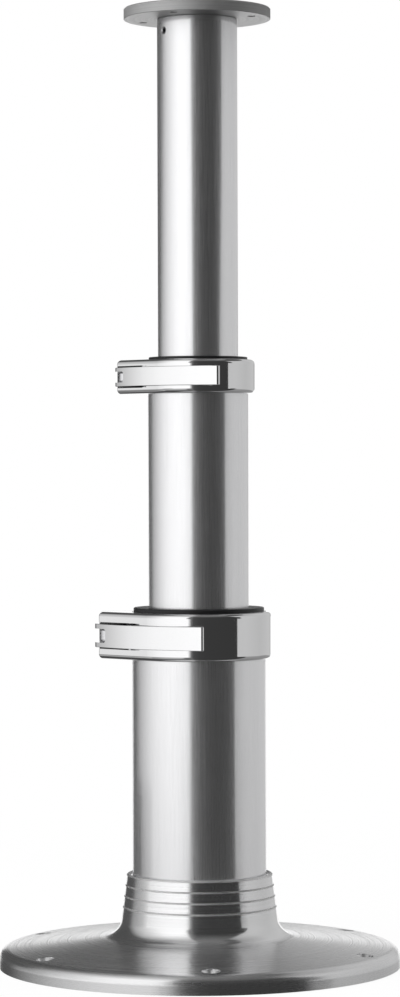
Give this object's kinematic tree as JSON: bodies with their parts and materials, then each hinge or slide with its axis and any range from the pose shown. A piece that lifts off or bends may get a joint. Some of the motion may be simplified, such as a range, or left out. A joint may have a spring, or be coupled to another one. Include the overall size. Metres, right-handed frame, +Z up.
{
  "type": "height adjustable table leg",
  "caption": "Telescopic aluminium table pedestal with a dished base, three round tubes, cam lever clamps and a round top plate; locks at any height and turns.",
  "frame": {"origin": "centre of the base plate's underside, on the column's axis", "axes": "+Z up along the column, -Y towards the front where the lever tips lie, -X towards the clamps' ears"},
  "size_m": [0.3, 0.3, 0.716],
  "materials": {
    "cast_aluminium": "turned and satin polished",
    "anodised_tube": "satin anodised, brushed along the tube",
    "polished_aluminium": "polished",
    "plate_aluminium": "turned, satin",
    "black_plastic": "moulded, slightly glossy",
    "bright_steel": "bright zinc",
    "dark_steel": "blackened"
  },
  "bodies": {
    "base": {"base_plate": "cast_aluminium", "outer_tube": "anodised_tube", "lower_clamp_collar": "polished_aluminium", "lower_lever_pin": "bright_steel", "lower_clamp_bolt": "bright_steel", "lower_cam_washer": "bright_steel", "lower_bolt_washer": "bright_steel", "lower_clamp_nut": "bright_steel"},
    "lower_bush": {"lower_guide_bush": "black_plastic"},
    "lower_lever": {"lower_clamp_lever": "polished_aluminium"},
    "middle_stage": {"middle_tube": "anodised_tube", "middle_guide_ring": "black_plastic", "upper_clamp_collar": "polished_aluminium", "upper_lever_pin": "bright_steel", "upper_clamp_bolt": "bright_steel", "upper_cam_washer": "bright_steel", "upper_bolt_washer": "bright_steel", "upper_clamp_nut": "bright_steel"},
    "upper_bush": {"upper_guide_bush": "black_plastic"},
    "upper_lever": {"upper_clamp_lever": "polished_aluminium"},
    "top_stage": {"top_tube": "anodised_tube", "top_guide_ring": "black_plastic", "top_plate": "plate_aluminium", "plate_grub_screws": "dark_steel"}
  },
  "joints": [
    {"name": "lower_bush_swivel", "type": "hinge", "parent": "base", "child": "lower_bush", "pos_m": [0, 0, 0.2645], "axis": [0, 0, 1], "continuous": true},
    {"name": "middle_stage_slide", "type": "slide", "parent": "lower_bush", "child": "middle_stage", "axis": [0, 0, 1], "range_m": [-0.159, 0]},
    {"name": "lower_lever_swing", "type": "hinge", "parent": "base", "child": "lower_lever", "pos_m": [-0.06834, -0.00027, 0.247], "axis": [0, 0, -1], "range_deg": [0, 110]},
    {"name": "upper_bush_swivel", "type": "hinge", "parent": "middle_stage", "child": "upper_bush", "pos_m": [0, 0, 0.4529], "axis": [0, 0, 1], "continuous": true},
    {"name": "top_stage_slide", "type": "slide", "parent": "upper_bush", "child": "top_stage", "axis": [0, 0, 1], "range_m": [-0.252, 0]},
    {"name": "upper_lever_swing", "type": "hinge", "parent": "middle_stage", "child": "upper_lever", "pos_m": [-0.05485, 0.00003, 0.44015], "axis": [0, 0, -1], "range_deg": [0, 110]}
  ]
}
